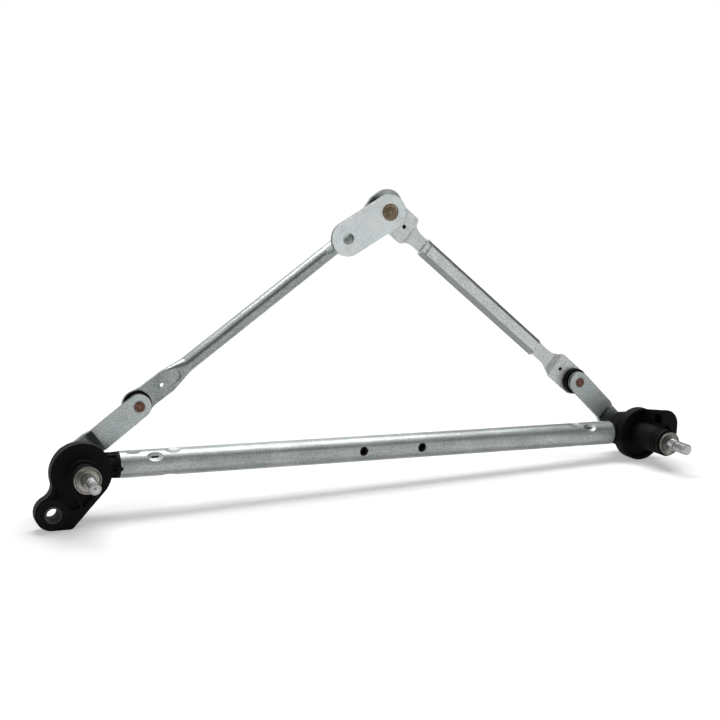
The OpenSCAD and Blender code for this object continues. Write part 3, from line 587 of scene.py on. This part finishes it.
left_pivot = joint_at["left_crank_swing"]
right_pivot = joint_at["right_crank_swing"]
left_ball = joint_at["left_rod_swing"]
right_ball = joint_at["right_rod_swing"]
motor_stud = joint_at["motor_crank_turn"]
ear_bore = Vector((0, 0, 0))
copper = (0.07, 0.032, 0.024), (0.19, 0.098, 0.072), (0.36, 0.22, 0.165)
browned_copper = (0.075, 0.055, 0.032), (0.22, 0.165, 0.105), (0.44, 0.36, 0.25)
ear_steel = turned_finish(
    "ear_steel", ear_bore, dark=(0.02, 0.0195, 0.0185), light=(0.09, 0.087, 0.082), rings=900,
    rough=(0.34, 0.5), wear_plus_highlight=0.1,
)
left_rivet_copper = rivet_finish("left_rivet_copper", left_ball, *copper)
right_rivet_copper = rivet_finish("right_rivet_copper", right_ball, *copper)
motor_rivet_copper = rivet_finish("motor_rivet_copper", motor_stud, *browned_copper)


def shaft_finish(name, centre):
    return turned_finish(
        name, centre, dark=(0.2, 0.204, 0.201), light=(0.79, 0.798, 0.79), rings=800,
        edge_mm=0.03, rough=(0.17, 0.32), wear_plus_highlight=0.1,
    )


def washer_finish(name, centre):
    return turned_finish(
        name, centre, dark=(0.02, 0.019, 0.017), light=(0.52, 0.50, 0.44), rings=720, wear_plus_highlight=0.35
    )


def clip_finish(name, centre):
    return turned_finish(
        name, centre, dark=(0.03, 0.029, 0.027), light=(0.50, 0.485, 0.44), rings=800, rough=(0.22, 0.38)
    )


def ball_finish(name, centre):
    return turned_finish(
        name, centre, dark=(0.30, 0.305, 0.30), light=(0.60, 0.605, 0.59), rings=1500, rough=(0.24, 0.4)
    )


finishes = {
    "frame_tube": tube_zinc,
    "left_housing": black_moulding, "right_housing": black_moulding,
    "ear_grommet": black_rubber, "ear_sleeve": ear_steel,
    "left_rod": tube_rod_zinc, "right_rod": channel_rod_zinc,
    "left_rod_lower_socket": black_moulding, "left_rod_upper_socket": black_moulding,
    "right_rod_lower_socket": black_moulding, "right_rod_upper_socket": black_moulding,
    "motor_crank_plate": fresh_zinc, "motor_crank_stud": ball_finish("motor_stud_steel", motor_stud),
}
for side, pivot, ball in (("left", left_pivot, left_ball), ("right", right_pivot, right_ball)):
    finishes.update({
        side + "_front_bush": sintered_bronze, side + "_rear_bush": sintered_bronze,
        side + "_seal_ring": black_rubber, side + "_spacer_washer": black_moulding,
        side + "_shaft": shaft_finish(side + "_shaft_steel", pivot),
        side + "_thrust_washer": washer_finish(side + "_washer_steel", pivot),
        side + "_circlip": clip_finish(side + "_clip_steel", pivot),
        side + "_crank_plate": plate_zinc,
        side + "_ball_stud": ball_finish(side + "_ball_steel", ball),
    })
for name, material in finishes.items():
    nodes[name].data.materials.clear()
    nodes[name].data.materials.append(material)


# New pieces, turned and pressed in place on the CAD nodes

facing_front = (math.radians(90), 0, 0)
smooth_below = math.radians(28)
merge_gap = 0.001 * mm


def select_points(piece, wanted):
    """Selects the points of the piece in edit mode whose place passes the test."""
    mesh = bmesh.from_edit_mesh(piece.data)
    for point in mesh.verts:
        point.select_set(wanted(point.co))
    mesh.select_flush(True)
    bmesh.update_edit_mesh(piece.data)


def turn_piece(name, axis, stations, points):
    """A piece turned about an axis along Y: a filled circle extruded from one (y, radius) to the next."""
    y, radius = stations[0]
    bpy.ops.object.select_all(action="DESELECT")
    bpy.ops.mesh.primitive_circle_add(
        vertices=points, radius=radius, fill_type="NGON", location=(axis.x, y, axis.z), rotation=facing_front
    )
    piece = bpy.context.active_object
    piece.name = name
    bpy.ops.object.transform_apply(location=True, rotation=True, scale=True)
    bpy.ops.object.mode_set(mode="EDIT")
    bpy.ops.mesh.select_mode(type="FACE")
    bpy.ops.mesh.select_all(action="SELECT")
    for next_y, next_radius in stations[1:]:
        bpy.ops.mesh.extrude_region_move(TRANSFORM_OT_translate={"value": (0, next_y - y, 0)})
        grow = next_radius / radius
        bpy.ops.transform.resize(value=(grow, 1, grow), center_override=(axis.x, next_y, axis.z))
        y, radius = next_y, next_radius
    bpy.ops.mesh.select_all(action="SELECT")
    bpy.ops.mesh.normals_make_consistent(inside=False)
    bpy.ops.object.mode_set(mode="OBJECT")
    return piece


def finish_piece(piece, material, body):
    """Smooth shading between the sharp edges, the finish, and the body that the piece rides on."""
    bpy.ops.object.select_all(action="DESELECT")
    piece.select_set(True)
    bpy.context.view_layer.objects.active = piece
    bpy.ops.object.shade_smooth_by_angle(angle=smooth_below)
    piece.data.materials.clear()
    piece.data.materials.append(material)
    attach(piece, body)


def copy_piece(piece, name, offset):
    """A copy with its own mesh, moved by the offset."""
    bpy.ops.object.select_all(action="DESELECT")
    piece.select_set(True)
    bpy.context.view_layer.objects.active = piece
    bpy.ops.object.duplicate()
    copy = bpy.context.active_object
    copy.name = name
    bpy.ops.transform.translate(value=offset)
    bpy.ops.object.transform_apply(location=True, rotation=True, scale=True)
    return copy


shaft_points = 80
journal_r = 5.0 * mm
groove_r = 4.2 * mm
cone_r = 4.6 * mm
cone_end_r = 4.2 * mm
cone_length = 6.5 * mm
cone_land = 1.0 * mm
knurl_run_in = 0.35 * mm
knurl_depth = 0.3 * mm
thread_r = 4.0 * mm
thread_core_r = 3.58 * mm
thread_pitch = 1.25 * mm
plain_tip = 1.9 * mm
tip_chamfer = 0.5 * mm
centre_r = 0.9 * mm
centre_depth = 0.7 * mm
tail_r = 4.0 * mm
tail_chamfer = 0.6 * mm


def turn_thread(name, axis, front_y, rear_y):
    """Helical ridge: a V-shaped profile carried round the axis by a Screw modifier."""
    depth = thread_pitch / 2
    bpy.ops.object.select_all(action="DESELECT")
    bpy.ops.mesh.primitive_circle_add(vertices=4, radius=depth, location=(axis.x, front_y + depth, axis.z))
    thread = bpy.context.active_object
    thread.name = name
    bpy.ops.object.mode_set(mode="EDIT")
    bpy.ops.mesh.select_mode(type="VERT")
    select_points(thread, lambda at: at.x < -depth / 2)
    bpy.ops.mesh.delete(type="VERT")
    bpy.ops.mesh.select_all(action="SELECT")
    bpy.ops.transform.translate(value=(thread_r - depth, 0, 0))
    bpy.ops.object.mode_set(mode="OBJECT")
    screw = thread.modifiers.new("thread", "SCREW")
    screw.axis = "Y"
    screw.screw_offset = thread_pitch
    screw.iterations = round((rear_y - front_y) / thread_pitch)
    screw.steps = screw.render_steps = shaft_points // 2
    bpy.ops.object.modifier_apply(modifier=screw.name)
    bpy.ops.object.mode_set(mode="EDIT")
    bpy.ops.mesh.select_all(action="SELECT")
    bpy.ops.mesh.remove_doubles(threshold=merge_gap)
    bpy.ops.mesh.select_all(action="SELECT")
    bpy.ops.mesh.fill_holes(sides=0)
    bpy.ops.mesh.select_all(action="SELECT")
    bpy.ops.mesh.normals_make_consistent(inside=False)
    bpy.ops.object.mode_set(mode="OBJECT")
    bpy.ops.object.transform_apply(location=True, rotation=True, scale=True)
    return thread


def turn_wiper_shaft(side):
    """Wiper shaft with its rivet head, circlip groove, knurled cone, thread and centred tip."""
    axis = joint_at[side + "_crank_swing"]
    tip, tail = (corner.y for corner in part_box(side + "_shaft"))
    head_r = (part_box(side + "_shaft")[1].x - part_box(side + "_shaft")[0].x) / 2
    plate_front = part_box(side + "_spacer_washer")[1].y
    plate_rear = plate_front + plate_thick
    clip_front, clip_rear = (corner.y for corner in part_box(side + "_circlip"))
    cone_start = clip_front - cone_land
    cone_end = cone_start - cone_length
    tip_start = tip + plain_tip
    stations = [
        (tail, head_r - tail_chamfer), ((tail + plate_rear) / 2, head_r), (plate_rear, head_r),
        (plate_rear, tail_r), (plate_front, tail_r), (plate_front, journal_r),
        (clip_rear, journal_r), (clip_rear, groove_r), (clip_front, groove_r), (clip_front, cone_r),
        (cone_start, cone_r), (cone_start - knurl_run_in, cone_r), (cone_end + knurl_run_in, cone_end_r),
        (cone_end, cone_end_r), (cone_end, thread_core_r), (tip_start, thread_core_r),
        (tip_start, thread_r), (tip + tip_chamfer, thread_r), (tip, thread_r - tip_chamfer),
        (tip, centre_r), (tip + centre_depth, centre_r / 4),
    ]
    shaft = turn_piece(side + "_turned_shaft", axis, stations, shaft_points)
    step = 2 * math.pi / shaft_points

    def in_valley(at):
        if not cone_end + knurl_run_in / 2 < at.y < cone_start - knurl_run_in / 2:
            return False
        return round(math.atan2(at.z - axis.z, at.x - axis.x) / step) % 2 == 1

    bpy.ops.object.mode_set(mode="EDIT")
    bpy.ops.mesh.select_mode(type="VERT")
    select_points(shaft, in_valley)
    sink = 1 - knurl_depth / cone_r
    bpy.ops.transform.resize(value=(sink, 1, sink), center_override=(axis.x, cone_start, axis.z))
    bpy.ops.object.mode_set(mode="OBJECT")
    thread = turn_thread(side + "_thread", axis, tip_start - thread_pitch, cone_end + thread_pitch / 2)
    bpy.ops.object.select_all(action="DESELECT")
    thread.select_set(True)
    shaft.select_set(True)
    bpy.context.view_layer.objects.active = shaft
    bpy.ops.object.join()
    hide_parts(side + "_shaft")
    finish_piece(shaft, finishes[side + "_shaft"], side + "_crank")


rivet_points = 64
ball_rivet_r = 3.65 * mm
stud_rivet_r = 6.05 * mm
rivet_height = 0.8 * mm
rivet_root = 0.2 * mm
rivet_round = 0.25 * mm
rivet_groove = 0.14 * mm
groove_outer = 0.74
groove_floor_outer = 0.69
groove_floor_inner = 0.6
groove_inner = 0.55
rivet_centre_r = 0.7 * mm
rivet_centre_floor = 0.6


def spin_rivet_head(name, axis, plate_front, radius):
    """Head of a spun rivet: rounded rim, one ring pressed into its face and a small centre."""
    face = plate_front - rivet_height
    floor = face + rivet_groove
    stations = [
        (plate_front + rivet_root, radius), (face + rivet_round, radius),
        (face + rivet_round / 3, radius - rivet_round / 3), (face, radius - rivet_round),
        (face, radius * groove_outer), (floor, radius * groove_floor_outer),
        (floor, radius * groove_floor_inner), (face, radius * groove_inner),
        (face, rivet_centre_r), (floor, rivet_centre_r * rivet_centre_floor),
    ]
    return turn_piece(name, axis, stations, rivet_points)


swage_gap = 0.35 * mm
swage_r = 0.45 * mm
swage_points = 12
swage_band = 0.1 * mm
swage_sunk = 0.3
swage_raised = 0.55


def press_swage_ring(name, axis, plate_front, radius, material, body):
    """Low ring of plate metal raised round a rivet, half sunk in the plate."""
    bpy.ops.object.select_all(action="DESELECT")
    bpy.ops.mesh.primitive_torus_add(
        location=(axis.x, plate_front, axis.z), rotation=facing_front,
        major_segments=rivet_points, minor_segments=swage_points, major_radius=radius, minor_radius=swage_r,
    )
    ring = bpy.context.active_object
    ring.name = name
    bpy.ops.object.transform_apply(location=True, rotation=True, scale=True)
    bpy.ops.object.mode_set(mode="EDIT")
    bpy.ops.mesh.select_mode(type="VERT")
    select_points(ring, lambda at: at.y > plate_front + swage_band)
    bpy.ops.transform.resize(value=(1, swage_sunk, 1), center_override=(axis.x, plate_front, axis.z))
    select_points(ring, lambda at: at.y < plate_front - swage_band)
    bpy.ops.transform.resize(value=(1, swage_raised, 1), center_override=(axis.x, plate_front, axis.z))
    bpy.ops.object.mode_set(mode="OBJECT")
    finish_piece(ring, material, body)


peg_points = 40
peg_r = 1.47 * mm
peg_head_r = 2.5 * mm
peg_head = 1.0 * mm
peg_head_chamfer = 0.4 * mm
peg_sink = 0.25 * mm
peg_chamfer = 0.2 * mm
peg_dimple = 0.15 * mm
sheet = 2.0 * mm
lower_sheet_front = 36.2 * mm
upper_sheet_front = 34.5 * mm
lower_peg_at = 16.0 * mm
upper_peg_at = 17.0 * mm


def plug_hole_dark(name, axis, sheet_front):
    """Black peg that fills a small hole of the channel rod, with its head behind the sheet; it makes the
    hole show dark, a dark piece standing in for the shade there.
    """
    rear = sheet_front + sheet
    head_rear = rear + peg_head
    face = sheet_front + peg_sink
    stations = [
        (head_rear, peg_head_r - peg_head_chamfer), (head_rear - peg_head_chamfer, peg_head_r),
        (rear, peg_head_r), (rear, peg_r), (face + peg_chamfer, peg_r), (face, peg_r - peg_chamfer),
        (face, peg_r / 2), (face + peg_dimple, peg_r / 4),
    ]
    return turn_piece(name, axis, stations, peg_points)


def make_new_pieces():
    for side in ("left", "right"):
        turn_wiper_shaft(side)
    left_head = spin_rivet_head("left_rivet_head", left_ball, crank_front, ball_rivet_r)
    right_head = copy_piece(left_head, "right_rivet_head", right_ball - left_ball)
    stud_head = spin_rivet_head("motor_rivet_head", motor_stud, motor_crank_front, stud_rivet_r)
    finish_piece(left_head, left_rivet_copper, "left_crank")
    finish_piece(right_head, right_rivet_copper, "right_crank")
    finish_piece(stud_head, motor_rivet_copper, "motor_crank")
    swages = (
        ("left", left_ball, crank_front, ball_rivet_r, plate_zinc),
        ("right", right_ball, crank_front, ball_rivet_r, plate_zinc),
        ("motor", motor_stud, motor_crank_front, stud_rivet_r, fresh_zinc),
    )
    for owner, axis, front, rivet_r, metal in swages:
        press_swage_ring(owner + "_swage_ring", axis, front, rivet_r + swage_gap, metal, owner + "_crank")
    along = direction_across(right_ball, motor_stud)
    low_at = right_ball + along * lower_peg_at
    high_at = motor_stud - along * upper_peg_at
    low_to_high = (high_at.x - low_at.x, upper_sheet_front - lower_sheet_front, high_at.z - low_at.z)
    # black pegs make the rod's two small holes show dark, standing in for the shade in them
    low_peg = plug_hole_dark("lower_dark_plug", low_at, lower_sheet_front)
    high_peg = copy_piece(low_peg, "upper_dark_plug", low_to_high)
    finish_piece(low_peg, black_moulding, "right_rod")
    finish_piece(high_peg, black_moulding, "right_rod")


make_new_pieces()


# Studio: white floor, white world, grey walls outside the picture and soft lamps, in metres

floor_size = 16
floor_gap = 0.5 * mm
floor_grey = 0.9
floor_mirrored = 0.45
glow_from = 0.25
glow_to = 1.6
glow_near = 0.39
glow_far = 1.05
world_mirrored = 1.0
room_light = 0.04
upright = math.radians(90)
quarter_turn = math.radians(90)


def rays_that_show_white(tree, mirrored_share):
    """1 for the rays straight from the camera, and a share of it for those by way of shiny metal."""
    path = place(tree, "ShaderNodeLightPath")
    mirrored = place(tree, "ShaderNodeMath", operation="MULTIPLY")
    mirrored.inputs[1].default_value = mirrored_share
    seen = place(tree, "ShaderNodeMath", operation="MAXIMUM")
    tree.links.new(path.outputs["Is Glossy Ray"], mirrored.inputs[0])
    tree.links.new(path.outputs["Is Camera Ray"], seen.inputs[0])
    tree.links.new(mirrored.outputs[0], seen.inputs[1])
    return seen.outputs[0]


def make_card(name, grey, size, at, turn):
    """Grey studio card outside the picture, which metal reflects as the darker side of the room."""
    bpy.ops.object.select_all(action="DESELECT")
    bpy.ops.mesh.primitive_plane_add(size=1, location=at, rotation=turn)
    card = bpy.context.active_object
    card.name = name
    card.scale = (*size, 1)
    bpy.ops.object.transform_apply(location=True, rotation=True, scale=True)
    material = bpy.data.materials.new(name)
    material.use_nodes = True
    fill(material.node_tree.nodes["Principled BSDF"], Base_Color=(grey, grey, grey, 1), Roughness=0.9)
    card.data.materials.append(material)
    card.visible_camera = False


def make_floor():
    """White floor under the ear and the right flange, on which the linkage rests a little out of level."""
    ear_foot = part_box("left_housing")[0].z
    flange_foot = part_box("right_housing")[0].z
    span = joint_at["right_crank_swing"].x
    tilt = math.atan2(flange_foot - ear_foot, span)
    bpy.ops.object.select_all(action="DESELECT")
    floor_z = ear_foot - floor_gap
    bpy.ops.mesh.primitive_plane_add(size=floor_size, location=(0, 0, floor_z), rotation=(0, -tilt, 0))
    floor = bpy.context.active_object
    floor.name = "floor"
    bpy.ops.object.transform_apply(location=True, rotation=True, scale=True)
    material = bpy.data.materials.new("floor_white")
    material.use_nodes = True
    tree = material.node_tree
    tree.nodes.clear()
    matt = fill(place(tree, "ShaderNodeBsdfDiffuse"), Color=(floor_grey, floor_grey, floor_grey, 1))
    glow = place(tree, "ShaderNodeEmission")
    both = place(tree, "ShaderNodeAddShader")
    out = place(tree, "ShaderNodeOutputMaterial")
    where = place(tree, "ShaderNodeTexCoord")
    offset = place(tree, "ShaderNodeVectorMath", operation="DISTANCE")
    offset.inputs[1].default_value = ((cad_box[0].x + cad_box[1].x) / 2, 0, cad_box[0].z)
    fade = place(tree, "ShaderNodeMapRange")
    fill(fade, From_Min=glow_from, From_Max=glow_to, To_Min=glow_near, To_Max=glow_far)
    level = place(tree, "ShaderNodeMath", operation="MULTIPLY")
    links = tree.links
    links.new(where.outputs["Object"], offset.inputs[0])
    links.new(offset.outputs["Value"], fade.inputs["Value"])
    links.new(fade.outputs["Result"], level.inputs[0])
    links.new(rays_that_show_white(tree, floor_mirrored), level.inputs[1])
    links.new(level.outputs[0], glow.inputs["Strength"])
    links.new(matt.outputs[0], both.inputs[0])
    links.new(glow.outputs[0], both.inputs[1])
    links.new(both.outputs[0], out.inputs["Surface"])
    floor.data.materials.append(material)


def make_world():
    world = bpy.data.worlds.new("studio")
    bpy.context.scene.world = world
    world.use_nodes = True
    tree = world.node_tree
    tree.nodes.clear()
    soft = fill(place(tree, "ShaderNodeBackground"), Color=(0.95, 0.97, 1.0, 1), Strength=room_light)
    white = fill(place(tree, "ShaderNodeBackground"), Color=(1, 1, 1, 1), Strength=1.0)
    choose = place(tree, "ShaderNodeMixShader")
    out = place(tree, "ShaderNodeOutputWorld")
    links = tree.links
    links.new(rays_that_show_white(tree, world_mirrored), choose.inputs[0])
    links.new(soft.outputs[0], choose.inputs[1])
    links.new(white.outputs[0], choose.inputs[2])
    links.new(choose.outputs[0], out.inputs["Surface"])


def make_lamp(name, at, target, size, power):
    data = bpy.data.lights.new(name, "AREA")
    data.shape = "RECTANGLE"
    data.size, data.size_y = size
    data.energy = power
    lamp = bpy.data.objects.new(name, data)
    bpy.context.scene.collection.objects.link(lamp)
    lamp.location = at
    lamp.rotation_euler = (Vector(target) - Vector(at)).to_track_quat("-Z", "Y").to_euler()


make_camera()
make_floor()
make_world()
make_card("front_wall", grey=0.36, size=(6, 3), at=(0.2, -1.9, 1.0), turn=(upright, 0, 0))
make_card("right_wall", grey=0.4, size=(5, 3), at=(2.0, 0.2, 1.3), turn=(upright, 0, quarter_turn))
make_card("left_wall", grey=0.4, size=(3.6, 3), at=(-1.7, -0.4, 1.3), turn=(upright, 0, -quarter_turn))
part_middle = (cad_box[0] + cad_box[1]) / 2
make_lamp("top_softbox", at=(0.32, 0.24, 1.1), target=part_middle, size=(1.1, 0.65), power=10.5)
make_lamp("left_softbox", at=(-0.75, -0.75, 0.6), target=part_middle, size=(0.5, 0.7), power=1.8)
make_lamp("front_fill", at=(0.75, -1.15, 0.3), target=part_middle, size=(0.8, 0.8), power=1.7)

bpy.context.scene.view_settings.view_transform = "Standard"
